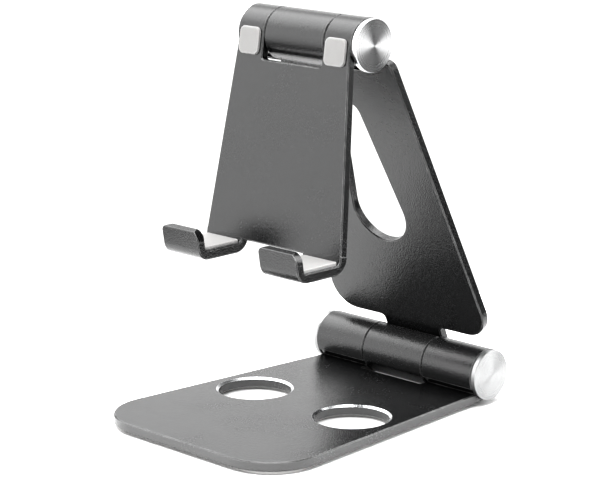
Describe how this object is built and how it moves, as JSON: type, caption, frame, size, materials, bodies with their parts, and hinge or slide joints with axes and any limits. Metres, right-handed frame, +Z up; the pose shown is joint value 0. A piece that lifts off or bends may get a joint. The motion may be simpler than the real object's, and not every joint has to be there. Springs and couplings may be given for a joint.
{
  "type": "folding phone stand",
  "caption": "Folding metal phone stand: flat base, leaning arm and hooked holder joined by friction hinges, with silicone pads.",
  "frame": {"origin": "bottom centre of the bounding box, on the surface the stand rests on", "axes": "+Z up, -Y to the front where the phone faces, +X to the right seen from the front; both hinge axes along X"},
  "size_m": [0.0816, 0.1136, 0.1302],
  "materials": {
    "anodised_black": "satin black anodised, fine grain",
    "silicone_grey": "matt light grey silicone",
    "turned_silver": "bright, face-turned",
    "zinc_steel": "zinc plated",
    "bronze": "plain bearing bronze"
  },
  "bodies": {
    "base": {"base_pad": "silicone_grey", "base_plate": "anodised_black", "lower_bolt": "zinc_steel", "lower_cap_left": "turned_silver", "lower_cap_right": "turned_silver", "lower_disc_spring_1": "zinc_steel", "lower_disc_spring_2": "zinc_steel", "lower_flat_washer": "zinc_steel", "lower_friction_washer_left": "bronze", "lower_friction_washer_right": "bronze", "lower_lock_nut": "zinc_steel"},
    "arm": {"arm_plate": "anodised_black", "lower_bush": "bronze", "upper_bush": "bronze"},
    "holder": {"front_pad_left": "silicone_grey", "front_pad_right": "silicone_grey", "holder_plate": "anodised_black", "hook_pad_left": "silicone_grey", "hook_pad_right": "silicone_grey", "upper_bolt": "zinc_steel", "upper_cap_left": "turned_silver", "upper_cap_right": "turned_silver", "upper_disc_spring_1": "zinc_steel", "upper_disc_spring_2": "zinc_steel", "upper_flat_washer": "zinc_steel", "upper_friction_washer_left": "bronze", "upper_friction_washer_right": "bronze", "upper_lock_nut": "zinc_steel"}
  },
  "joints": [
    {"name": "lower_hinge", "type": "hinge", "parent": "base", "child": "arm", "pos_m": [0, 0.0483, 0.0098], "axis": [1, 0, 0], "range_deg": [-37, 26]},
    {"name": "upper_hinge", "type": "hinge", "parent": "arm", "child": "holder", "pos_m": [0, 0.00219, 0.12167], "axis": [1, 0, 0], "range_deg": [-85, 38]}
  ]
}
